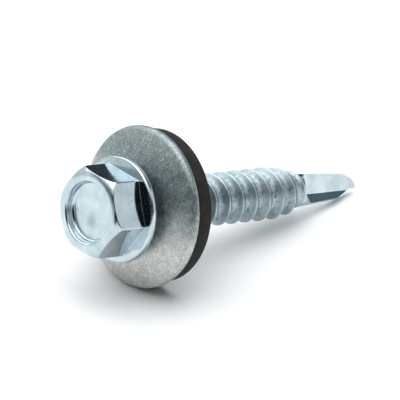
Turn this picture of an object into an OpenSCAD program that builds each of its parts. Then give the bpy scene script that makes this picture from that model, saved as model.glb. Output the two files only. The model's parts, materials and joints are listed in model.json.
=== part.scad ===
// Self-drilling cladding screw with a captive sealing washer, lying on its side as it comes to rest.
// Each piece is drawn upright about its own axis, with z = 0 at the bearing face of the flange and
// the drill point at the top, and is then laid down on the washer's rim and the drill point.

/* [Head] */
// Width of the hexagon across its flats
head_across_flats = 8; // [7:0.1:9]
// Height of the whole head above the bearing face
head_height = 4.3; // [3.8:0.1:5.4]
// Turn of the hexagon about the axis
head_roll = 31; // [0:1:60]
// Diameter of the flat rim round the recess, measured at its outer edge
head_top_diameter = 7; // [6.9:0.1:7.8]
// Height of the crown that rounds the hexagon's corners down to the rim
head_crown = 1; // [0.5:0.05:1.4]
// Diameter of the recess at its mouth
recess_diameter = 6.2; // [5:0.1:6.6]
// Depth of the recess
recess_depth = 0.85; // [0.4:0.05:1.2]
// Extra depth at the middle of the recess floor
recess_dish = 0.12; // [0:0.02:0.3]
// Slope of the recess wall from the axis
recess_draft = 14; // [5:1:25]

/* [Flange] */
// Diameter of the flange
flange_diameter = 10.4; // [9.8:0.1:11]
// Thickness of the flange at its rim
flange_rim = 0.65; // [0.5:0.05:0.9]
// Slope of the flange's upper side
flange_slope = 14; // [5:1:25]

/* [Shank] */
// Length from the bearing face to the drill point
length = 31.2; // [30:0.1:45]
// Diameter of the plain neck under the head
neck_diameter = 4.6; // [4.2:0.05:4.8]
// Length of the plain neck under the head
neck_length = 4.3; // [4.1:0.1:5]
// Diameter of the core between the threads
core_diameter = 4.04; // [3.8:0.02:4.2]

/* [Thread] */
// Diameter over the crests
thread_diameter = 5.26; // [5.1:0.02:5.5]
// Advance for each turn
thread_pitch = 1.8; // [1.4:0.05:2.2]
// Width of the flat on the crest
thread_crest = 0.14; // [0.08:0.02:0.24]
// Slope of each flank from the plane across the axis
thread_flank = 30; // [25:1:35]
// Turn of the thread about the axis
thread_roll = 0; // [0:5:355]
// Length of plain shank and point from the thread's end to the drill point
thread_to_tip = 8.2; // [8:0.1:9]
// Length over which the thread dies away towards the point
thread_fade = 3.4; // [2:0.1:5]

/* [Drill point] */
// Diameter of the point where its flutes begin
point_diameter = 3.24; // [3:0.02:3.6]
// Length of the flutes
flute_length = 7.6; // [6.5:0.1:7.9]
// Narrowing of the point towards its tip, on each side
point_taper = 4.6; // [0:0.1:6]
// Angle between the two cutting edges
point_angle = 88; // [70:1:130]
// Slope behind each cutting edge
point_relief = 25; // [10:1:35]
// Distance from the axis to the bottom of each flute
flute_valley = 0.58; // [0.45:0.01:0.75]
// Opening of each flute between its cutting face and its short wall
flute_opening = 145; // [125:1:155]
// Turn of the flutes about the axis
point_roll = 127; // [0:1:180]

/* [Sealing washer] */
// Outer diameter of the metal washer
washer_diameter = 16; // [14:0.5:19]
// Thickness of the metal sheet
washer_sheet = 0.7; // [0.5:0.05:1]
// Radius of the dome that the sheet is pressed to
washer_dome = 18; // [14:0.5:40]
// Diameter of the hole in the metal washer
washer_hole = 5.1; // [4.9:0.05:5.2]
// Distance from the flange to the washer, which the seal holds on the plain neck
washer_standoff = 1; // [0:0.1:1.2]
// Outer diameter of the seal
seal_diameter = 15.2; // [13.4:0.1:18.6]
// Thickness of the seal at its rim
seal_thickness = 1.75; // [1.4:0.05:2.5]
// Width of the flat land that meets the sheet
seal_land = 2.2; // [1.2:0.1:2.6]
// Thickness of the seal at its bore
seal_thickness_at_bore = 2.2; // [1.6:0.05:2.4]
// Clearance between the seal's bore and the neck
seal_clearance = 0.05; // [0.05:0.01:0.15]
// Thickness of the bond between the sheet and the seal
seal_bond = 0.02; // [0.02:0.01:0.05]

/* [Hidden] */
$fn = 96;

// Steps of a rounded edge, of the dome and of one turn of the thread
edge_steps = 5;
crown_steps = 8;
dome_steps = 12;
turn_steps = 36;

// Radii of the rounded edges
flange_round = 0.24;
recess_round = 0.16;
sheet_round = 0.3;
seal_round = 0.3;
neck_fillet = 0.3;

// How far a cutter or a buried foot passes the face that it has to reach
past = 0.15;
// Step from the core down to the point, and the least height of the ridge
point_shoulder = 0.05;
least_ridge = 0.01;
// How bluntly the thread dies away
fade_power = 0.6;

head_corner_r = head_across_flats / 2 / cos(30);
thread_r = thread_diameter / 2;
core_r = core_diameter / 2;
point_r = point_diameter / 2;
flute_start = length - flute_length;
thread_end = length - thread_to_tip;
thread_start = neck_length;
full_end = thread_end - thread_fade;
washer_r = washer_diameter / 2;
sheet_top_r = washer_r - sheet_round;
seal_r = seal_diameter / 2;
seal_bore_r = neck_diameter / 2 + seal_clearance;

// Height of a domed face of radius r_dome at the distance r from the axis, below its own top
function dome_drop(r_dome, r) = r_dome - sqrt(r_dome * r_dome - r * r);
// Height of the sheet's upper and lower face at the distance r from the axis
function sheet_top(r) =
    washer_standoff + dome_drop(washer_dome, r) - dome_drop(washer_dome, washer_hole / 2);
function sheet_under(r) =
    washer_standoff + washer_sheet + dome_drop(washer_dome - washer_sheet, r)
    - dome_drop(washer_dome - washer_sheet, washer_hole / 2);

rim_height = (sheet_top(sheet_top_r) + sheet_under(sheet_top_r)) / 2;
seal_face = sheet_under(seal_r) + seal_thickness;
seal_inner = sheet_under(seal_bore_r) + seal_bond + seal_thickness_at_bore;

// Points of an arc about the centre c, from the angle a to the angle b
function arc(c, r, a, b, steps) =
    [for (i = [0 : steps]) c + r * [cos(a + (b - a) * i / steps), sin(a + (b - a) * i / steps)]];

// Radius of the tapered point at the height z
function taper_r(z) = point_r - (z - flute_start) * tan(point_taper);

// The lowest corner of the point, where a cutting edge meets the tapered side
point_slope = 1 / tan(point_angle / 2);
relief_slope = tan(point_relief);
face_offset = flute_valley * sin(180 - flute_opening);
corner_r = taper_r(length - 1);
corner_height = length - point_slope * corner_r;

// The tilt at which the washer's rim and the point's corner stand on one level
rim_contact_r = washer_r - washer_sheet / 2;
rest_run = corner_height - rim_height;
rest_drop = rim_contact_r - corner_r * cos(25);
tilt = atan2(rest_drop, rest_run) + asin(washer_sheet / 2 / norm([rest_run, rest_drop]));
axis_height = rim_height * sin(tilt) + rim_contact_r * cos(tilt) + washer_sheet / 2;
axis_shift = (head_height * cos(tilt) + head_top_diameter / 2 * sin(tilt) - length * cos(tilt)) / 2;

// Lays an upright piece down, drill point to +X, on the washer's rim and the point
module laid() {
    translate([axis_shift, 0, axis_height])
        rotate([0, 90 + tilt, 0])
            children();
}

// The turned outline of the flange, with its rim rounded above and below
module flange() {
    r = flange_diameter / 2;
    rise = tan(flange_slope) * r;
    rotate_extrude()
        polygon(concat(
            [[0, -flange_rim - rise], [0, 0]],
            arc([r - flange_round, -flange_round], flange_round, 90, 0, edge_steps),
            arc([r - flange_round, -flange_rim + flange_round], flange_round,
                0, -90 + flange_slope, edge_steps)
        ));
}

// The hexagon, its corners rounded down to the flat rim by a turned quarter of an ellipse
module hexagon() {
    top_r = head_top_diameter / 2;
    crown = [for (i = [0 : crown_steps])
        let (t = 90 * i / crown_steps)
        [top_r + (head_corner_r - top_r) * cos(t), -head_height + head_crown * (1 - sin(t))]];
    intersection() {
        rotate(head_roll)
            translate([0, 0, -head_height])
                cylinder(h = head_height, r = head_corner_r, $fn = 6);
        rotate_extrude()
            polygon(concat([[0, 0], [head_corner_r + past, 0], [head_corner_r + past, -head_height + head_crown]],
                           crown, [[0, -head_height]]));
    }
}

// The shallow round recess in the head's top
module recess() {
    mouth_r = recess_diameter / 2;
    floor_r = mouth_r - recess_depth * tan(recess_draft);
    rotate_extrude()
        polygon(concat(
            [[0, -head_height - past], [mouth_r + recess_round, -head_height - past]],
            arc([mouth_r + recess_round, -head_height + recess_round], recess_round,
                -90, -180, edge_steps),
            arc([floor_r - recess_round, -head_height + recess_depth - recess_round], recess_round,
                0, 90, edge_steps),
            [[0, -head_height + recess_depth + recess_dish]]
        ));
}

// The plain neck, with a fillet under the flange
module neck() {
    neck_r = neck_diameter / 2;
    rotate_extrude()
        polygon(concat(
            [[0, -past], [neck_r + neck_fillet, -past]],
            arc([neck_r + neck_fillet, neck_fillet], neck_fillet, -90, -180, edge_steps),
            [[neck_r, neck_length - past], [neck_r - past, neck_length], [0, neck_length]]
        ));
}

// The tapered round blank of the drill point, its foot buried in the end of the core
module point_blank() {
    rotate_extrude()
        polygon([
            [0, thread_end - past], [point_r, thread_end - past], [point_r, flute_start],
            [taper_r(length), length], [0, length]
        ]);
}

// Radius of the core under the thread at the height z, down to a small shoulder at the point
function core_at(z) =
    let (share = min(1, max(0, (z - full_end) / (thread_end - full_end))))
    core_r + (point_r + point_shoulder - core_r) * share;

// Height of the ridge over the core: it rises in half a turn and dies away over the fade
function ridge_at(z) =
    let (rise = max(0, min(1, (z - thread_start) / (thread_pitch / 2))),
         fade = max(0, min(1, (thread_end - z) / thread_fade)))
    (thread_r - core_at(z)) * min(rise, pow(fade, fade_power)) + least_ridge;

// The rolled right-hand thread with its core, as one helical strip of root, flank, crest and flank
// that joins on to itself a turn further up; its two ragged ends are buried or cut off
module threaded_core() {
    foot = thread_start - 1.2 * thread_pitch;
    steps = ceil((thread_end + 1.2 * thread_pitch - foot) / thread_pitch) * turn_steps;
    last = steps - turn_steps;
    points = [for (i = [0 : steps])
        let (z = foot + thread_pitch * i / turn_steps,
             turn = thread_roll + 360 * i / turn_steps,
             spread = thread_crest / 2 + ridge_at(z) * tan(thread_flank))
        for (p = [[0, -spread], [ridge_at(z), -thread_crest / 2],
                  [ridge_at(z), thread_crest / 2], [0, spread]])
            let (r = core_at(z + p[1]) + p[0])
            [r * cos(turn), r * sin(turn), z + p[1]]];
    // The place of point k of step i, where the fifth point is the first one a turn further on
    function at(i, k) = k < 4 ? 4 * i + k : 4 * (i + turn_steps) + k - 4;
    // The closed edge of the strip's end at step i: up one side and back along the helix
    function end_loop(i) = concat([for (k = [0 : 3]) at(i, k)],
                                  [for (j = [turn_steps : -1 : 1]) at(i + j, 0)]);
    low = end_loop(0);
    high = end_loop(last);
    low_hub = len(points);
    hubs = [[0, 0, foot], [0, 0, foot + thread_pitch * (last / turn_steps + 1)]];
    polyhedron(
        concat(points, hubs),
        concat(
            [for (i = [0 : last - 1], k = [0 : 3])
                each [[at(i, k), at(i, k + 1), at(i + 1, k + 1)], [at(i, k), at(i + 1, k + 1), at(i + 1, k)]]],
            [for (j = [0 : len(low) - 1]) [low_hub, low[(j + 1) % len(low)], low[j]]],
            [for (j = [0 : len(high) - 1]) [low_hub + 1, high[j], high[(j + 1) % len(high)]]]
        )
    );
}

// The threaded core, trimmed square where the point begins
module shank() {
    neck();
    point_blank();
    intersection() {
        threaded_core();
        translate([0, 0, thread_end - length])
            cylinder(h = length, r = head_corner_r);
    }
}

// One flute: a long cutting face and a short wall that meet in a valley beside the axis
module flute() {
    reach = 2 * point_diameter;
    translate([0, 0, flute_start])
        linear_extrude(flute_length + past)
            polygon([
                [flute_valley, 0],
                [flute_valley - reach * cos(180 - flute_opening), -reach * sin(180 - flute_opening)],
                [flute_valley, -reach],
                [reach, -reach],
                [reach, 0]
            ]);
}

// The waste above one of the two relieved end faces of the point
module end_waste() {
    size = 3 * point_diameter;
    lean = atan(point_slope);
    rotate(180 - flute_opening)
        translate([0, 0, length])
            rotate([atan(relief_slope * cos(lean)), lean, 0])
                translate([-size / 2, -size / 2, 0])
                    cube(size);
}

module screw() {
    color("lightsteelblue")
        laid()
            difference() {
                union() {
                    flange();
                    hexagon();
                    shank();
                }
                recess();
                for (side = [0, 180])
                    rotate(point_roll + side) {
                        flute();
                        end_waste();
                    }
            }
}

// The domed sheet with rounded edges and a round hole
module metal_washer() {
    hole_r = washer_hole / 2;
    rim_r = washer_r - washer_sheet / 2;
    radii = [for (i = [0 : dome_steps]) hole_r + (sheet_top_r - hole_r) * i / dome_steps];
    color("darkgray")
        laid()
            rotate_extrude()
                polygon(concat(
                    [for (r = radii) [r, sheet_top(r)]],
                    arc([rim_r, rim_height], washer_sheet / 2, -60, 60, edge_steps),
                    [for (i = [dome_steps : -1 : 0]) [radii[i], sheet_under(radii[i])]]
                ));
}

// The bonded ring of soft rubber: domed to the sheet above, flat land and shallow cup below
module rubber_seal() {
    land_r = seal_r - seal_round - seal_land;
    radii = [for (i = [0 : dome_steps]) seal_bore_r + (seal_r - seal_bore_r) * i / dome_steps];
    color([0.16, 0.16, 0.15])
        laid()
            rotate_extrude()
                polygon(concat(
                    [for (r = radii) [r, sheet_under(r) + seal_bond]],
                    arc([seal_r - seal_round, seal_face - seal_round], seal_round, 0, 90, edge_steps),
                    [[land_r, seal_face], [seal_bore_r, seal_inner]]
                ));
}

screw();
metal_washer();
rubber_seal();
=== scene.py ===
# %% [markdown]
# Cladding screw with its sealing washer
#
# The real thing is a self-drilling screw that holds profiled sheet to a steel frame. It is forged and
# rolled from one wire and plated with bright zinc. Under its head sits a domed washer of galvanised
# sheet with a black rubber ring bonded to its back. The CAD frame gives the place and the size of all
# three. This lesson turns each into a finer mesh, gives each the finish of its real material, and
# lights them so that the plating has something to mirror. A bright metal shows little of its own: most
# of what we see on it is the room, so the room is built as carefully as the screw.

# %% Load the frame
import json
import math
import bmesh
import bpy
import numpy as np
from mathutils import Matrix, Vector


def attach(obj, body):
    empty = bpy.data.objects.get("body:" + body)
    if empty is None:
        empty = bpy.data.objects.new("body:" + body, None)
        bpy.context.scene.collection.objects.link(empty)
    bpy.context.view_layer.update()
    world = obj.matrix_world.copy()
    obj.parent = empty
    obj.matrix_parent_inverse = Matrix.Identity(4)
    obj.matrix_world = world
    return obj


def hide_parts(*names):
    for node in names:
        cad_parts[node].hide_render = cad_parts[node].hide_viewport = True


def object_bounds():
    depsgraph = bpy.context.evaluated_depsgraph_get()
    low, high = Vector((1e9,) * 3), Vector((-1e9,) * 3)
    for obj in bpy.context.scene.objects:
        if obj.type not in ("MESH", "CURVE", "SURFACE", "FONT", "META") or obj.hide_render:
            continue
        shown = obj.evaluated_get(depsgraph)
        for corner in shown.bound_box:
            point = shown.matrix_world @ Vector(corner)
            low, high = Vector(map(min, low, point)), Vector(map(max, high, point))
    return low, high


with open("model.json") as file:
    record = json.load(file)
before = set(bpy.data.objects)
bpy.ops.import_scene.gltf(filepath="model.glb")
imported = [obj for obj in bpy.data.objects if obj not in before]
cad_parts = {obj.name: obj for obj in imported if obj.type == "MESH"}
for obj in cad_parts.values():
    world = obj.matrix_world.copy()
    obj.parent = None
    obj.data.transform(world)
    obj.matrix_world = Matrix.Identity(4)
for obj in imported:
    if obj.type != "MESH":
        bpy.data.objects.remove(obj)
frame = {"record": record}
cad_low, cad_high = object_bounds()
print("CAD box in mm:", [round(1000 * side, 2) for side in cad_high - cad_low])

# %% [markdown]
# Where the screw lies
#
# All shapes below are easiest to describe upright, in millimetres, with height 0 at the bearing face of
# the flange and the drill point at the top. The record of the frame names two points on the screw's
# axis and its direction, so the screw can be laid down exactly as the CAD has it, without repeating the
# sum that finds its tilt.

# %% The screw's own axes in the frame
mounts = {mount["name"]: mount for mount in frame["record"]["mounts"]}
axis = -Vector(mounts["hex_drive"]["axis"]).normalized()
HEAD_HEIGHT = 4.5
bearing_point = Vector(mounts["hex_drive"]["pos_m"]) + axis * HEAD_HEIGHT / 1000
side = Vector((0, 1, 0))
down_side = side.cross(axis)
lay_down = Matrix.Translation(bearing_point) @ Matrix((down_side, side, axis)).transposed().to_4x4() \
    @ Matrix.Scale(0.001, 4)
print("screw axis", [round(c, 4) for c in axis], "tilt", round(math.degrees(math.asin(-axis.z)), 2))

# %% [markdown]
# Sizes
#
# These are the real sizes in millimetres. They repeat the values of the CAD source, because a scene
# that is finer than the CAD still has to fill the same space. The rounded edges are the scene's own:
# forging, rolling and plating leave none of them sharp, and a round edge of a few hundredths of a
# millimetre is what catches the light.

# %% Sizes of the screw
ACROSS_FLATS = 8.0
HEX_ROLL = 31.0
RIM_RADIUS = 3.5
CROWN = 1.0
MOUTH_RADIUS, RECESS_DEPTH, RECESS_DISH, RECESS_DRAFT = 3.1, 0.85, 0.12, 14.0
FLANGE_RADIUS, FLANGE_RIM, FLANGE_SLOPE = 5.25, 0.7, 7.0
LENGTH = 31.2
NECK_RADIUS, NECK_LENGTH = 2.3, 4.3
CORE_RADIUS, THREAD_RADIUS = 2.02, 2.63
PITCH, CREST, FLANK = 1.8, 0.14, 30.0
THREAD_ROLL, THREAD_END, THREAD_FADE, FADE_POWER = 60.0, 23.0, 3.6, 0.6
POINT_RADIUS, FLUTE_START, POINT_TAPER = 1.66, 23.7, 4.3
POINT_RELIEF, POINT_ROLL = 52.0, 127.0
FLUTE_VALLEY, FLUTE_OPENING = 0.58, 145.0
HEX_CORNER_ROUND, EDGE_ROUND, SEAM_ROUND, SUPPORT = 0.2, 0.1, 0.045, 0.015

# %% [markdown]
# Columns round the axis
#
# The screw is mostly round, but its head has six corners. One grid can hold both if its columns crowd
# together at the hexagon's corners, where the surface turns fast, and spread out between them. Every
# column then follows the whole length of the screw, so the head, neck and thread are one closed skin
# without a join.

# %% Angles of the columns
SECTOR_COLUMNS = 32
CROWDING = 0.72
steps = np.arange(SECTOR_COLUMNS) / SECTOR_COLUMNS
sector = 60 * (steps - CROWDING * np.sin(2 * math.pi * steps) / (2 * math.pi))
angles = np.concatenate([HEX_ROLL + 60 * k + sector for k in range(6)])
COLUMNS = len(angles)
print(COLUMNS, "columns,", round(float(np.diff(sector).min()), 2), "degrees apart at the corners")

# %% [markdown]
# The hexagon's outline
#
# A forged hexagon has corners rounded by the wear of the die. The outline is the flat where the column
# meets one, and a small arc near each corner.

# %% Distance from the axis to the hexagon, for each column
def hexagon_radius(degrees):
    apothem = ACROSS_FLATS / 2
    from_corner = np.radians((np.asarray(degrees) - HEX_ROLL + 30) % 60 - 30)
    arc_centre = (apothem - HEX_CORNER_ROUND) / math.cos(math.radians(30))
    arc_end = math.atan2(HEX_CORNER_ROUND / 2, arc_centre + HEX_CORNER_ROUND * math.cos(math.radians(30)))
    flat = apothem / np.cos(math.radians(30) - np.abs(from_corner))
    offset = np.clip(arc_centre * np.sin(np.abs(from_corner)), 0, HEX_CORNER_ROUND)
    corner = arc_centre * np.cos(from_corner) + np.sqrt(HEX_CORNER_ROUND ** 2 - offset ** 2)
    return np.where(np.abs(from_corner) < arc_end, corner, flat)


hex_radius = hexagon_radius(angles)
print("hexagon from", round(float(hex_radius.min()), 3), "to", round(float(hex_radius.max()), 3), "mm")

# %% [markdown]
# Rings of the head
#
# The head is described as rings from the middle of the recess outwards, over the rim, down the crown and
# the flats, over the flange and under it to the neck. A ring holds one radius and one height for each
# column. On the crown the rings bend with the hexagon: the curved edge where a flat runs out into the
# crown is then a line of the grid itself, and stays crisp.

# %% Helpers for rings
def ring(radius, height):
    return np.full(COLUMNS, 1.0) * radius, np.full(COLUMNS, 1.0) * height


def beyond(end, corner):
    """A ring just outside a rounding. It keeps the face next to it flat, so its mirror image is calm."""
    run = (end[0] - corner[0], end[1] - corner[1])
    step = SUPPORT / np.hypot(*run)
    return end[0] + run[0] * step, end[1] + run[1] * step


def rounded(first, corner, last, count=5):
    """Rings over a rounded corner, from first to last; each is a pair of radius and height."""
    made = [beyond(first, corner)]
    for t in np.linspace(0, 1, count):
        shares = ((1 - t) ** 2, 2 * t * (1 - t), t ** 2)
        made.append(tuple(sum(share * point[k] for share, point in zip(shares, (first, corner, last)))
                          for k in (0, 1)))
    return made + [beyond(last, corner)]


def crown_point(radius):
    """The crown at this radius: a quarter of an ellipse from the hexagon's corner up to the rim."""
    corner_radius = ACROSS_FLATS / 2 / math.cos(math.radians(30))
    share = np.clip((radius - RIM_RADIUS) / (corner_radius - RIM_RADIUS), 0, 1)
    return radius, -HEAD_HEIGHT + CROWN * (1 - np.sqrt(1 - share ** 2))


# %% The rings of the recess and the crown
floor_height = -HEAD_HEIGHT + RECESS_DEPTH
floor_radius = MOUTH_RADIUS - RECESS_DEPTH * math.tan(math.radians(RECESS_DRAFT))
rings = []
for share in (0.12, 0.25, 0.38, 0.5, 0.62, 0.73, 0.82, 0.88):
    dish = RECESS_DISH * (1 - share ** 2) ** 2
    rings.append(ring(floor_radius * share, floor_height + dish))
rings += rounded(ring(floor_radius - 0.3, floor_height), ring(floor_radius, floor_height),
                 ring(floor_radius + 0.07, floor_height - 0.28), 7)
rings += rounded(ring(MOUTH_RADIUS - 0.05, -HEAD_HEIGHT + 0.2), ring(MOUTH_RADIUS, -HEAD_HEIGHT),
                 ring(MOUTH_RADIUS + 0.16, -HEAD_HEIGHT), 6)
rings.append(ring(RIM_RADIUS - 0.1, -HEAD_HEIGHT))
for share in np.linspace(0, 0.9, 9):
    rings.append(crown_point(RIM_RADIUS + (hex_radius - RIM_RADIUS) * share))
crease = crown_point(hex_radius)
before = crown_point(RIM_RADIUS + (hex_radius - RIM_RADIUS) * 0.93)
after = (hex_radius, crease[1] + EDGE_ROUND * 0.7)
rings += rounded(before, crease, after, 5)
print(len(rings), "rings down to the edge of the flats")

# %% The rings of the flats, the flange and the neck
def flange_top(radius):
    return -FLANGE_RIM - math.tan(math.radians(FLANGE_SLOPE)) * (FLANGE_RADIUS - 0.1 - radius)


seam = (hex_radius, flange_top(hex_radius))
for share in (0.25, 0.5, 0.75):
    rings.append((hex_radius, after[1] + (seam[1] - SEAM_ROUND - after[1]) * share))
above = (hex_radius, seam[1] - SEAM_ROUND)
beside = (hex_radius + SEAM_ROUND, flange_top(hex_radius + SEAM_ROUND))
rings += rounded(above, seam, beside, 5)
rim_start = FLANGE_RADIUS - 0.2
for share in (0.35, 0.7):
    radius = beside[0] + (rim_start - beside[0]) * share
    rings.append((radius, flange_top(radius)))
rings += rounded(ring(rim_start, flange_top(rim_start)), ring(FLANGE_RADIUS, -FLANGE_RIM),
                 ring(FLANGE_RADIUS, -FLANGE_RIM + 0.22), 6)
rings += rounded(ring(FLANGE_RADIUS, -0.22), ring(FLANGE_RADIUS, 0), ring(FLANGE_RADIUS - 0.22, 0), 5)
rings.append(ring(3.6, 0))
rings += rounded(ring(NECK_RADIUS + 0.3, 0), ring(NECK_RADIUS, 0), ring(NECK_RADIUS, 0.3), 6)
rings.append(ring(NECK_RADIUS, 0.8))
print(len(rings), "rings down to the neck")

# %% [markdown]
# The rolled thread
#
# Rolling dies press a thread into the wire: the metal flows out of the root and up into the crest. The
# crest is narrow and slightly rounded, the root is wide and follows the core. A screw thread is one long
# strip, so its rows climb by one pitch for each turn round the axis, and the last column of a row meets
# the first column of the row a whole pitch further on. The crest then runs along the rows and stays
# smooth with few vertices, where level rows would cut it into stairs.

# %% Heights of the core and the ridge
def blend(low, high, value):
    share = np.clip((value - low) / (high - low), 0, 1)
    return share * share * (3 - 2 * share)


def core_radius(height):
    end = POINT_RADIUS + 0.05
    fade = np.clip((height - THREAD_END + THREAD_FADE) / THREAD_FADE, 0, 1)
    under_thread = CORE_RADIUS + (end - CORE_RADIUS) * fade
    from_neck = NECK_RADIUS + (under_thread - NECK_RADIUS) * blend(NECK_LENGTH - 0.3, NECK_LENGTH + 1.1, height)
    taper = POINT_RADIUS - np.clip(height - FLUTE_START, 0, None) * math.tan(math.radians(POINT_TAPER))
    return from_neck + (taper - from_neck) * blend(THREAD_END - 0.05, THREAD_END + 0.1, height)


def ridge_height(height):
    rise = blend(NECK_LENGTH, NECK_LENGTH + PITCH * 0.7, height)
    fade = np.clip((THREAD_END - height) / THREAD_FADE, 0, 1) ** FADE_POWER
    return np.clip(THREAD_RADIUS - core_radius(height), 0, None) * np.minimum(rise, fade)


def crest_distance(height, degrees):
    """How far a point is from the nearest crest, along the axis."""
    crest = NECK_LENGTH - 1.2 * PITCH + PITCH * (degrees - THREAD_ROLL) / 360
    return (height - crest + PITCH / 2) % PITCH - PITCH / 2


def thread_surface(height, degrees):
    ridge = ridge_height(height)
    slope = math.tan(math.radians(FLANK))
    away = np.abs(crest_distance(height, degrees))
    rise = (CREST / 2 - away) / slope + ridge
    soft = 0.03
    foot = 0.5 * (rise + np.sqrt(rise ** 2 + soft ** 2))
    top = 0.5 * (foot + ridge - np.sqrt((foot - ridge) ** 2 + (soft * 0.6) ** 2))
    return core_radius(height) + np.clip(top, 0, ridge)


# %% Rows that climb with the thread
ROW_OFFSETS = np.array([-0.9, -0.68, -0.53, -0.45, -0.38, -0.27, -0.15, -0.085, -0.04,
                        0.0, 0.04, 0.085, 0.15, 0.27, 0.38, 0.45, 0.53, 0.68])
ROWS_A_TURN = len(ROW_OFFSETS)
first_crest = NECK_LENGTH - 1.2 * PITCH + PITCH * (angles[0] - THREAD_ROLL) / 360
turns = math.ceil((LENGTH + 1.0 - first_crest) / PITCH) + 1
climb = PITCH * (angles - angles[0]) / 360
rows = []
for turn in range(turns):
    for offset in ROW_OFFSETS:
        height = first_crest + PITCH * turn + offset + climb
        rows.append((thread_surface(height, angles), height))
print(turns, "turns of", ROWS_A_TURN, "rows, from", round(float(rows[0][1][0]), 2), "mm")

# %% [markdown]
# One closed skin
#
# Rings and rows are joined into one mesh. The strip's own first edge climbs by a pitch, and it is joined
# to the last level ring on the plain neck, where the washer hides it. Its far end is closed by a fan
# beyond the drill point, which the next step cuts away.

# %% Build the skin
def skin_mesh(name):
    vertices = [(0.0, 0.0, floor_height + RECESS_DISH)]
    cos, sin = np.cos(np.radians(angles)), np.sin(np.radians(angles))
    for radius, height in rings + rows:
        vertices += zip(radius * cos, radius * sin, height)
    vertices.append((0.0, 0.0, float(rows[-1][1].mean())))
    faces = []
    level = len(rings)

    def at(line, column):
        if column == COLUMNS:
            line, column = (line, 0) if line < level else (line + ROWS_A_TURN, 0)
        return 1 + line * COLUMNS + column

    for column in range(COLUMNS):
        faces.append((0, at(0, column + 1), at(0, column)))
    for line in range(level - 1):
        for column in range(COLUMNS):
            faces.append((at(line, column), at(line, column + 1), at(line + 1, column + 1), at(line + 1, column)))
    for column in range(COLUMNS - 1):
        faces.append((at(level - 1, column), at(level - 1, column + 1), at(level, column + 1), at(level, column)))
    first_edge = [at(level + k, 0) for k in range(ROWS_A_TURN + 1)]
    faces.append((at(level - 1, COLUMNS - 1), at(level - 1, 0), *first_edge, at(level, COLUMNS - 1)))
    last = level + len(rows) - 1
    for line in range(level, last):
        for column in range(COLUMNS):
            if column < COLUMNS - 1 or line + 1 + ROWS_A_TURN <= last:
                faces.append((at(line, column), at(line, column + 1),
                              at(line + 1, column + 1), at(line + 1, column)))
    hub = len(vertices) - 1
    far_edge = [at(last, column) for column in range(COLUMNS)]
    far_edge += [at(last - k, COLUMNS - 1) for k in range(1, ROWS_A_TURN + 1)]
    for here, there in zip(far_edge, far_edge[1:] + far_edge[:1]):
        faces.append((here, there, hub))
    mesh = bpy.data.meshes.new(name)
    mesh.from_pydata([tuple(map(float, v)) for v in vertices], [], faces)
    return mesh


screw = bpy.data.objects.new("screw_body", skin_mesh("screw_body"))
bpy.context.scene.collection.objects.link(screw)
print("skin:", len(screw.data.vertices), "vertices")

# %% [markdown]
# The drill point
#
# The point is pinched between two dies that form two flutes on opposite sides. Each flute is a long
# flat cutting face and a short wall, meeting in a valley beside the axis. The end of each land falls
# gently from that valley and steeply at its outer corner, and it is relieved behind the cutting edge,
# so that only the edge touches the steel. Cutting these with exact solids leaves the
# edges sharp, as they have to be, and the flute's start is drawn out so that it runs out of the round
# blank as the die leaves it.

# %% Cutters for the flutes and the end
def solid(name, sections):
    """A closed solid through sections that have the same number of points each."""
    count = len(sections[0])
    vertices = [tuple(point) for section in sections for point in section]
    faces = [tuple(range(count))[::-1], tuple(range(len(vertices) - count, len(vertices)))]
    for k in range(len(sections) - 1):
        for j in range(count):
            nxt = (j + 1) % count
            faces.append((k * count + j, k * count + nxt, (k + 1) * count + nxt, (k + 1) * count + j))
    mesh = bpy.data.meshes.new(name)
    mesh.from_pydata(vertices, [], faces)
    made = bpy.data.objects.new(name, mesh)
    bpy.context.scene.collection.objects.link(made)
    return made


FLUTE_RUN_OUT = 1.6
REACH = 4 * POINT_RADIUS
END_PLANES = ((0.3, 0.0, 0.03), (1.0, 0.5, 0.045), (2.0, 1.6, 0.06))


def flute_cutter(turn):
    wall = math.radians(180 - FLUTE_OPENING)
    outwards = math.radians(-FLUTE_OPENING / 2)
    outline = [(FLUTE_VALLEY, 0), (FLUTE_VALLEY - REACH * math.cos(wall), -REACH * math.sin(wall)),
               (FLUTE_VALLEY, -REACH), (REACH, -REACH), (REACH, 0)]
    sections = []
    for share in (0.0, 0.15, 0.3, 0.45, 0.6, 0.75, 0.88, 1.0):
        shift = 1.5 * (1 - math.sqrt(1 - (1 - share) ** 2))
        sections.append([(x + shift * math.cos(outwards), y + shift * math.sin(outwards),
                          FLUTE_START - 0.5 + FLUTE_RUN_OUT * share) for x, y in outline])
    sections.append([(x, y, LENGTH + 4) for x, y in outline])
    cutter = solid("flute_cutter", sections)
    cutter.data.transform(Matrix.Rotation(math.radians(POINT_ROLL + turn), 4, "Z"))
    return cutter


def end_cutter(turn, slope, rise, overlap):
    """Cuts one land: its end falls by slope along the cutting face, and behind it by the relief."""
    wall = math.radians(180 - FLUTE_OPENING)

    def end_height(x, y):
        along = (FLUTE_VALLEY - x) * math.cos(wall) - y * math.sin(wall)
        across = (x - FLUTE_VALLEY) * math.sin(wall) - y * math.cos(wall)
        return LENGTH + rise - slope * along + math.tan(math.radians(POINT_RELIEF)) * across

    land = [(-REACH, -REACH), (REACH, -REACH), (REACH, overlap), (-REACH, overlap)]
    cutter = solid("end_cutter", [[(x, y, end_height(x, y)) for x, y in land],
                                  [(x, y, LENGTH + 8 * REACH) for x, y in land]])
    cutter.data.transform(Matrix.Rotation(math.radians(POINT_ROLL + turn), 4, "Z"))
    return cutter


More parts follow.
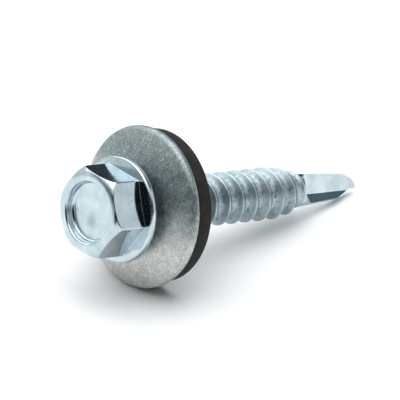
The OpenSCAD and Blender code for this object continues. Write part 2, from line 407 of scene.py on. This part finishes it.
def cut(body, cutter):
    step = body.modifiers.new("cut", "BOOLEAN")
    step.operation, step.solver, step.object = "DIFFERENCE", "EXACT", cutter
    graph = bpy.context.evaluated_depsgraph_get()
    result = bpy.data.meshes.new_from_object(body.evaluated_get(graph))
    body.modifiers.remove(step)
    body.data = result
    bpy.data.objects.remove(cutter)


for turn in (0, 180):
    cut(screw, flute_cutter(turn))
    for slope, rise, overlap in END_PLANES:
        cut(screw, end_cutter(turn, slope, rise, overlap))
print("after the cuts:", len(screw.data.vertices), "vertices, highest",
      round(max(v.co.z for v in screw.data.vertices), 3), "mm")

# %% [markdown]
# Where the thread's root is
#
# Plating pools and dirt settles in the root, and the dies leave small pits there. The material has to
# know where that is, so each vertex keeps how deep in the thread it lies: 1 in the root, 0 on the crest
# and everywhere else.

# %% Mark the root, lay the screw down and smooth its faces
def finish_mesh(made, sharp_degrees):
    made.data.transform(lay_down)
    made.data.shade_smooth()
    made.data.set_sharp_from_angle(angle=math.radians(sharp_degrees))


points = np.array([v.co for v in screw.data.vertices], float)
degrees = np.degrees(np.arctan2(points[:, 1], points[:, 0]))
radial = np.hypot(points[:, 0], points[:, 1])
heights = points[:, 2]
full = np.maximum(ridge_height(heights), 0.02)
depth = 1 - np.clip((radial - core_radius(heights)) / full, 0, 1)
depth *= blend(NECK_LENGTH, NECK_LENGTH + 0.5, heights) * (1 - blend(THREAD_END - 0.3, THREAD_END, heights))
rolled = blend(NECK_LENGTH, NECK_LENGTH + 0.5, heights) * (1 - blend(THREAD_END, THREAD_END + 0.4, heights))
# Painted shade: a dark patch on one side of the recess floor and the foot of its wall.
in_recess = np.hypot(points[:, 0] - 0.98, points[:, 1] - 0.07)
recess_shade = np.where(heights < -HEAD_HEIGHT + RECESS_DEPTH * 1.3, 1 - blend(0.15, 1.0, in_recess), 0)
recess_shade *= heights > -HEAD_HEIGHT + RECESS_DEPTH * 0.7
# Painted shade: a dark line in the root just behind each crest stands in for the shade that the crest casts on the
# root.
behind = crest_distance(heights, degrees)
shade = blend(0.3, 0.5, behind) * (1 - blend(0.62, 0.8, behind)) * np.clip(ridge_height(heights) / 0.5, 0, 1)
shade *= rolled
for name, share in (("thread_root", depth), ("rolled", rolled), ("recess_smudge", recess_shade),
                    ("behind_crest", shade)):
    layer = screw.data.attributes.new(name, "FLOAT", "POINT")
    layer.data.foreach_set("value", share.astype(np.float32))
finish_mesh(screw, 32)
print("root share of the screw:", round(float(depth.mean()), 3))

# %% [markdown]
# The washer and its seal
#
# Both are turned shapes, so both are a closed outline swept round the axis. The sheet is pressed to a
# shallow dome, and the shears leave one edge rounded and the other nearly square. The rubber is
# moulded on to its back: it follows the dome, bulges a little at its rim and ends in a flat land.

# %% Sizes of the washer and the seal
WASHER_RADIUS, SHEET, DOME_RADIUS, HOLE_RADIUS, STANDOFF = 8.0, 0.7, 18.0, 2.55, 0.7
SEAL_RADIUS, SEAL_THICKNESS, SEAL_AT_BORE, SEAL_LAND = 7.6, 2.2, 2.3, 2.2
SEAL_BORE, BOND, SEAL_ROUND = 2.35, 0.02, 0.3


def dome_drop(dome_radius, radius):
    return dome_radius - math.sqrt(dome_radius ** 2 - radius ** 2)


def sheet_top(radius):
    return STANDOFF + dome_drop(DOME_RADIUS, radius) - dome_drop(DOME_RADIUS, HOLE_RADIUS)


def sheet_under(radius):
    inner = DOME_RADIUS - SHEET
    return STANDOFF + SHEET + dome_drop(inner, radius) - dome_drop(inner, HOLE_RADIUS)


def turned(name, outline, columns=160):
    """A closed outline of (radius, height) swept round the axis."""
    count = len(outline)
    vertices = []
    for k in range(columns):
        turn = 2 * math.pi * k / columns
        vertices += [(r * math.cos(turn), r * math.sin(turn), z) for r, z in outline]
    faces = []
    for k in range(columns):
        here, there = k * count, (k + 1) % columns * count
        for j in range(count):
            nxt = (j + 1) % count
            faces.append((here + j, here + nxt, there + nxt, there + j))
    mesh = bpy.data.meshes.new(name)
    mesh.from_pydata(vertices, [], faces)
    made = bpy.data.objects.new(name, mesh)
    bpy.context.scene.collection.objects.link(made)
    check = bmesh.new()
    check.from_mesh(mesh)
    bmesh.ops.recalc_face_normals(check, faces=check.faces)
    check.to_mesh(mesh)
    check.free()
    finish_mesh(made, 40)
    return made


# %% The domed washer
def bend(first, corner, last, count):
    """Points over a rounded corner of an outline."""
    return [tuple((1 - t) ** 2 * a + 2 * t * (1 - t) * b + t ** 2 * c
                  for a, b, c in zip(first, corner, last)) for t in np.linspace(0, 1, count)]


inner_edge, outer_edge = HOLE_RADIUS + 0.12, WASHER_RADIUS - 0.3
radii = np.linspace(inner_edge, outer_edge, 26)
outline = [(r, sheet_top(r)) for r in radii]
rim_top = (WASHER_RADIUS, sheet_top(WASHER_RADIUS) + 0.02)
rim_under = (WASHER_RADIUS, sheet_under(WASHER_RADIUS) - 0.02)
rim_middle = (WASHER_RADIUS, (rim_top[1] + rim_under[1]) / 2)
outline += bend(outline[-1], rim_top, rim_middle, 8)[1:]
outline += bend(rim_middle, rim_under, (outer_edge + 0.14, sheet_under(outer_edge + 0.14)), 6)[1:]
outline += [(r, sheet_under(r)) for r in radii[::-1]]
outline += bend((inner_edge, sheet_under(inner_edge)), (HOLE_RADIUS, sheet_under(HOLE_RADIUS)),
                (HOLE_RADIUS, STANDOFF + SHEET / 2), 4)[1:]
outline += bend((HOLE_RADIUS, STANDOFF + SHEET / 2), (HOLE_RADIUS, sheet_top(HOLE_RADIUS)),
                outline[0], 4)[1:-1]
washer = turned("washer_sheet", outline)
print("washer:", len(washer.data.vertices), "vertices, rim at", round(rim_middle[1], 2), "mm")

# %% The rubber seal
seal_back = sheet_under(SEAL_RADIUS) + SEAL_THICKNESS
seal_inner = sheet_under(SEAL_BORE) + BOND + SEAL_AT_BORE
land = SEAL_RADIUS - SEAL_ROUND - SEAL_LAND
edge = SEAL_RADIUS - 0.06
outline = [(r, sheet_under(r) + BOND) for r in np.linspace(SEAL_BORE, edge - 0.05, 20)]
front = sheet_under(edge) + BOND
outline += bend((edge - 0.05, front), (edge, front), (edge, front + 0.15), 4)[1:]
bulge = [(edge + 0.06 * math.sin(math.pi * t), front + 0.15 + (seal_back - SEAL_ROUND - front - 0.15) * t)
         for t in np.linspace(0, 1, 8)]
outline += bulge[1:]
outline += bend((edge, seal_back - SEAL_ROUND), (edge, seal_back), (edge - SEAL_ROUND, seal_back), 7)[1:]
outline += [(land + 0.35, seal_back)]
outline += bend((land + 0.3, seal_back), (land, seal_back), (land - 0.3, seal_back - 0.1), 5)[1:]
outline += [(land - 1.2, seal_back + (seal_inner - seal_back) * 1.2 / (land - SEAL_BORE)),
            (SEAL_BORE + 0.15, seal_inner + 0.02), (SEAL_BORE, seal_inner - 0.12)]
seal = turned("seal_ring", outline)
print("seal:", len(seal.data.vertices), "vertices, back at", round(seal_back, 2), "mm")

# %% [markdown]
# Tools for materials
#
# Colours are read from the photograph as sRGB hex values, the way a screen shows them. Blender reckons
# in linear light, so one function turns them. One more function adds a node with its settings and its
# links, which keeps each material short enough to read.

# %% Colour and node helpers
def linear(code):
    channels = [int(code[k:k + 2], 16) / 255 for k in (1, 3, 5)]
    return tuple(c / 12.92 if c <= 0.04045 else ((c + 0.055) / 1.055) ** 2.4 for c in channels) + (1.0,)


def add(tree, kind, settings=None, links=None):
    """Adds a node. Settings are its values, sockets or colour stops; links are sockets fed by outputs."""
    node = tree.nodes.new(kind)
    for name, value in (settings or {}).items():
        if name == "stops":
            elements = node.color_ramp.elements
            while len(elements) < len(value):
                elements.new(0.5)
            for element, (place, code) in zip(elements, value):
                element.position, element.color = place, linear(code)
        elif isinstance(name, str) and hasattr(node, name):
            setattr(node, name, value)
        else:
            node.inputs[name].default_value = value
    for name, output in (links or {}).items():
        tree.links.new(output, node.inputs[name])
    return node


def new_material(name):
    material = bpy.data.materials.new(name)
    material.use_nodes = True
    tree = material.node_tree
    tree.nodes.clear()
    return material, tree


def millimetres(size):
    """Noise scale for features of this size, since object coordinates are metres."""
    return 1000 / size


# %% [markdown]
# Bright zinc plating
#
# Zinc is plated on in a bath with brighteners and then dipped in a clear blue passivate. That gives a
# mirror with a cool tint, a faint milky bloom, and tiny pits where the dies left the wire rough. It is a
# metal, so its colour is the colour of its reflections. In the roots of the thread the coat is duller
# and darker, because brighteners and polish hardly reach there.

# %% Zinc-plated steel
zinc, tree = new_material("zinc_plated_steel")
where = add(tree, "ShaderNodeTexCoord").outputs["Object"]
root = add(tree, "ShaderNodeAttribute", {"attribute_name": "thread_root"}).outputs["Fac"]
rolled = add(tree, "ShaderNodeAttribute", {"attribute_name": "rolled"}).outputs["Fac"]
recess_shade = add(tree, "ShaderNodeAttribute", {"attribute_name": "recess_smudge"}).outputs["Fac"]
shade = add(tree, "ShaderNodeAttribute", {"attribute_name": "behind_crest"}).outputs["Fac"]
bloom = add(tree, "ShaderNodeTexNoise", {"Scale": millimetres(1.6), "Detail": 5.0, "Roughness": 0.6},
            {"Vector": where}).outputs["Fac"]
pits = add(tree, "ShaderNodeTexNoise", {"Scale": millimetres(0.34), "Detail": 3.0, "Roughness": 0.65},
           {"Vector": where}).outputs["Fac"]
tint = add(tree, "ShaderNodeValToRGB", {"stops": [(0.3, "#AEBEC5"), (0.5, "#BDCBD1"), (0.72, "#D0DADE")]},
           {"Fac": bloom}).outputs["Color"]
pit_share = add(tree, "ShaderNodeMapRange", {"From Min": 0.52, "From Max": 0.64}, {"Value": pits}).outputs["Result"]
root_pits = add(tree, "ShaderNodeMath", {"operation": "MULTIPLY"}, {0: pit_share, 1: root}).outputs["Value"]
pitted = add(tree, "ShaderNodeMixRGB", {"Color2": linear("#6E8087")}, {"Fac": root_pits, "Color1": tint})
# Painted shade: the dark patch in the recess, broken up by the bloom noise, is mixed in here.
recess_shade_share = add(tree, "ShaderNodeMath", {"operation": "MULTIPLY"}, {0: bloom, 1: recess_shade}).outputs["Value"]
recess_shaded = add(tree, "ShaderNodeMixRGB", {"Color2": linear("#6F8088")},
              {"Fac": recess_shade_share, "Color1": pitted.outputs["Color"]})
matt = add(tree, "ShaderNodeMath", {"operation": "MULTIPLY", 1: 0.27}, {0: rolled})
rolled_tint = add(tree, "ShaderNodeMixRGB", {"Color2": linear("#86999F")},
                  {"Fac": matt.outputs["Value"], "Color1": recess_shaded.outputs["Color"]})
# Painted shade: the dark line just behind each crest is mixed into the base colour here.
base = add(tree, "ShaderNodeMixRGB", {"Color2": linear("#303C41")},
           {"Fac": shade, "Color1": rolled_tint.outputs["Color"]})
rough = add(tree, "ShaderNodeMath", {"operation": "MULTIPLY_ADD", 1: 0.3, 2: 0.11}, {0: rolled})
fine = add(tree, "ShaderNodeMath", {"operation": "MULTIPLY_ADD", 1: 0.55, 2: 0.45}, {0: root})
relief = add(tree, "ShaderNodeMath", {"operation": "MULTIPLY"}, {0: pits, 1: fine.outputs["Value"]})
bump = add(tree, "ShaderNodeBump", {"Strength": 0.18, "Distance": 0.00006}, {"Height": relief.outputs["Value"]})
shader = add(tree, "ShaderNodeBsdfPrincipled", {"Metallic": 1.0},
             {"Base Color": base.outputs["Color"], "Roughness": rough.outputs["Value"],
              "Normal": bump.outputs["Normal"]})
add(tree, "ShaderNodeOutputMaterial", links={"Surface": shader.outputs["BSDF"]})
screw.data.materials.clear()
screw.data.materials.append(zinc)
print("zinc:", len(tree.nodes), "nodes")

# %% [markdown]
# Galvanised sheet
#
# The washer is pressed from sheet that was dipped in molten zinc and rolled. Its skin is a matt,
# mottled grey with fine bright flecks, warmer and far duller than the plating on the screw.

# %% Galvanised sheet
sheet_finish, tree = new_material("galvanised_sheet")
where = add(tree, "ShaderNodeTexCoord").outputs["Object"]
mottle = add(tree, "ShaderNodeTexNoise", {"Scale": millimetres(0.7), "Detail": 7.0, "Roughness": 0.75},
             {"Vector": where}).outputs["Fac"]
grain = add(tree, "ShaderNodeTexNoise", {"Scale": millimetres(0.22), "Detail": 3.0, "Roughness": 0.6},
            {"Vector": where}).outputs["Fac"]
mixed = add(tree, "ShaderNodeMixRGB", {"Fac": 0.45}, {"Color1": mottle, "Color2": grain}).outputs["Color"]
tone = add(tree, "ShaderNodeValToRGB", {"stops": [(0.34, "#9A9F9F"), (0.5, "#BFC0BE"), (0.62, "#E0DFDB")]},
           {"Fac": mixed}).outputs["Color"]
patches = add(tree, "ShaderNodeTexNoise", {"Scale": millimetres(5), "Detail": 3.0, "Roughness": 0.55},
              {"Vector": where}).outputs["Fac"]
# Painted reflection: the higher a point of the washer lies, the more its colour is darkened towards teal grey; random
# dull patches add to the same share.
height = add(tree, "ShaderNodeSeparateXYZ", links={"Vector": where}).outputs["Z"]
patches_and_height = add(tree, "ShaderNodeMath", {"operation": "MULTIPLY_ADD", 1: 0.006}, {0: patches, 2: height})
patchy_painted_reflection = add(tree, "ShaderNodeMapRange", {"From Min": 0.0085, "From Max": 0.014, "To Max": 0.85},
           {"Value": patches_and_height.outputs["Value"]})
tone_with_painted_reflection = add(tree, "ShaderNodeMixRGB", {"blend_type": "MULTIPLY", "Color2": linear("#A3B5BA")},
             {"Fac": patchy_painted_reflection.outputs["Result"], "Color1": tone})
specks = add(tree, "ShaderNodeTexNoise", {"Scale": millimetres(0.16), "Detail": 2.0}, {"Vector": where}).outputs["Fac"]
fleck = add(tree, "ShaderNodeMapRange", {"From Min": 0.6, "From Max": 0.7, "To Max": 0.75}, {"Value": specks})
tone = add(tree, "ShaderNodeMixRGB", {"Color2": linear("#E4E4DF")},
           {"Fac": fleck.outputs["Result"], "Color1": tone_with_painted_reflection.outputs["Color"]}).outputs["Color"]
rough = add(tree, "ShaderNodeMapRange", {"From Min": 0.35, "From Max": 0.65, "To Min": 0.36, "To Max": 0.52},
            {"Value": mottle})
bump = add(tree, "ShaderNodeBump", {"Strength": 0.35, "Distance": 0.00005}, {"Height": grain})
shader = add(tree, "ShaderNodeBsdfPrincipled", {"Metallic": 1.0},
             {"Base Color": tone, "Roughness": rough.outputs["Result"], "Normal": bump.outputs["Normal"]})
add(tree, "ShaderNodeOutputMaterial", links={"Surface": shader.outputs["BSDF"]})
washer.data.materials.append(sheet_finish)
print("galvanised sheet:", len(tree.nodes), "nodes")

# %% [markdown]
# Moulded rubber
#
# The seal is black weatherproof rubber, cut from a moulded sheet. It is matt, and dust and handling
# leave it a little brown and grey in patches.

# %% Black rubber
rubber, tree = new_material("black_rubber")
where = add(tree, "ShaderNodeTexCoord").outputs["Object"]
dust = add(tree, "ShaderNodeTexNoise", {"Scale": millimetres(1.1), "Detail": 5.0, "Roughness": 0.65},
           {"Vector": where}).outputs["Fac"]
grain = add(tree, "ShaderNodeTexNoise", {"Scale": millimetres(0.25), "Detail": 2.0}, {"Vector": where}).outputs["Fac"]
tone = add(tree, "ShaderNodeValToRGB", {"stops": [(0.35, "#141413"), (0.55, "#1C1B19"), (0.75, "#2B2824")]},
           {"Fac": dust}).outputs["Color"]
bump = add(tree, "ShaderNodeBump", {"Strength": 0.3, "Distance": 0.00004}, {"Height": grain})
shader = add(tree, "ShaderNodeBsdfPrincipled", {"Roughness": 0.75, "IOR": 1.5, "Specular IOR Level": 0.3},
             {"Base Color": tone, "Normal": bump.outputs["Normal"]})
add(tree, "ShaderNodeOutputMaterial", links={"Surface": shader.outputs["BSDF"]})
seal.data.materials.append(rubber)
print("rubber:", len(tree.nodes), "nodes")

# %% [markdown]
# Give each piece its place in the frame
#
# Each fine mesh stands for one CAD node, which is hidden, and rides on the one body there is. Its finish was given to
# it with its material above.

# %% Join the pieces to the frame
for piece, node, finish in ((screw, "screw", "zinc_plated_steel"),
                            (washer, "metal_washer", "galvanised_sheet"),
                            (seal, "rubber_seal", "rubber")):
    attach(piece, "root")
    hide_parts(node)
    print(piece.name, "stands for", node)

# %% [markdown]
# The studio
#
# The screw lies on a white sweep. Plating mirrors its surroundings, so a few dark and bright cards stand
# around it: the dark space behind the camera makes the near-black band where a flat meets the flange,
# and a dark card far behind gives the upper flat its dark half. They are soft patches of the world.

# %% Floor
floor_mesh = bpy.data.meshes.new("white_sweep")
reach = 1.5
floor_mesh.from_pydata([(-reach, -reach, 0), (reach, -reach, 0), (reach, reach, 0), (-reach, reach, 0)],
                       [], [(0, 1, 2, 3)])
floor = bpy.data.objects.new("white_sweep", floor_mesh)
bpy.context.scene.collection.objects.link(floor)
floor.location.z = cad_low.z
paper, tree = new_material("white_paper")
shader = add(tree, "ShaderNodeBsdfPrincipled",
             {"Base Color": linear("#F6F6F6"), "Roughness": 0.9, "Specular IOR Level": 0.1})
add(tree, "ShaderNodeOutputMaterial", links={"Surface": shader.outputs["BSDF"]})
floor_mesh.materials.append(paper)
print("floor at", round(floor.location.z, 5))


# %% World with soft cards
def towards(azimuth, elevation):
    """Direction from the screw; azimuth 0 is in front of it (-Y) and 90 to its right (+X)."""
    a, e = math.radians(azimuth), math.radians(elevation)
    return Vector((math.sin(a) * math.cos(e), -math.cos(a) * math.cos(e), math.sin(e)))


CARDS = [
    ("grey wall to the left", -118, 26, 10, 28, "#82959A"),
    ("space behind the camera", -40, 28, 23, 30, "#0C1013"),
    ("space beside the camera", 18, 14, 17, 27, "#161B20"),
    ("dark doorway to the left", -84, 17, 13, 23, "#1A262B"),
    ("grey space to the right", 86, 26, 12, 24, "#5E7078"),
    ("dark card far right", 131, 10, 12, 24, "#3A4042"),
    ("bright softbox above", -150, 52, 20, 40, "#FFFFFF"),
]
world = bpy.data.worlds.new("studio")
bpy.context.scene.world = world
world.use_nodes = True
tree = world.node_tree
tree.nodes.clear()
direction = add(tree, "ShaderNodeTexCoord").outputs["Generated"]
colour = add(tree, "ShaderNodeRGB").outputs["Color"]
colour.default_value = linear("#EEF3F5")
for name, azimuth, elevation, inner, outer, code in CARDS:
    dot = add(tree, "ShaderNodeVectorMath", {"operation": "DOT_PRODUCT", 1: towards(azimuth, elevation)},
              {0: direction})
    share = add(tree, "ShaderNodeMapRange",
                {"interpolation_type": "SMOOTHSTEP", "From Min": math.cos(math.radians(outer)),
                 "From Max": math.cos(math.radians(inner))}, {"Value": dot.outputs["Value"]})
    colour = add(tree, "ShaderNodeMixRGB", {"Color2": linear(code)},
                 {"Fac": share.outputs["Result"], "Color1": colour}).outputs["Color"]
background = add(tree, "ShaderNodeBackground", {"Strength": 1.0}, {"Color": colour})
add(tree, "ShaderNodeOutputWorld", links={"Surface": background.outputs["Background"]})
print(len(CARDS), "cards in the world")


# %% Lamps
def softbox(name, azimuth, elevation, distance, size, power):
    lamp = bpy.data.lights.new(name, "AREA")
    lamp.shape, lamp.size, lamp.energy = "SQUARE", size, power
    made = bpy.data.objects.new(name, lamp)
    bpy.context.scene.collection.objects.link(made)
    made.location = towards(azimuth, elevation) * distance
    made.rotation_euler = (-towards(azimuth, elevation)).to_track_quat("-Z", "Y").to_euler()
    return made


softbox("key_softbox", 170, 66, 0.5, 0.9, 2.6)
softbox("top_softbox", 60, 80, 0.5, 0.6, 0.8)
print("two softboxes")

# %% [markdown]
# The camera
#
# The photograph was taken with a long lens: the far rim of the washer is hardly smaller than the near
# one. Where the bearing face and the drill point fall in it fixes the direction of view. The screw
# runs 10.19 pixels to the millimetre, and the point on its axis 10.45 mm behind the bearing face lies
# at the middle of the frame. Seen flat, the axis runs 0.7354 of its length to the right and 0.0786 of
# it upwards, and two small sums turn these shares into the camera's azimuth and elevation.

# %% Camera
PIXELS_PER_MM, FRAME_PIXELS, DISTANCE_MM = 10.19, 400, 1000
camera_data = bpy.data.cameras.new("long_lens")
camera = bpy.data.objects.new("long_lens", camera_data)
bpy.context.scene.collection.objects.link(camera)
camera_data.sensor_width = 36
camera_data.lens = 36 * PIXELS_PER_MM * DISTANCE_MM / FRAME_PIXELS
camera_data.clip_start, camera_data.clip_end = 0.05, 20
RIGHTWARDS, UPWARDS = 0.7354, 0.0786
azimuth = -math.acos(RIGHTWARDS / axis.x)
lift, drop = -axis.x * math.sin(azimuth), -axis.z
elevation = math.asin(UPWARDS / math.hypot(lift, drop)) + math.atan2(drop, lift)
back = towards(math.degrees(azimuth), math.degrees(elevation))
aim = bearing_point + axis * 0.01045
camera.location = aim + back * DISTANCE_MM / 1000
camera.rotation_euler = (-back).to_track_quat("-Z", "Y").to_euler()
camera.location += camera.matrix_basis.to_3x3() @ Vector((0, 0.00005, 0))
bpy.context.scene.camera = camera
bpy.context.scene.view_settings.view_transform = "Standard"
print("camera at azimuth", round(math.degrees(azimuth), 2), "elevation", round(math.degrees(elevation), 2))
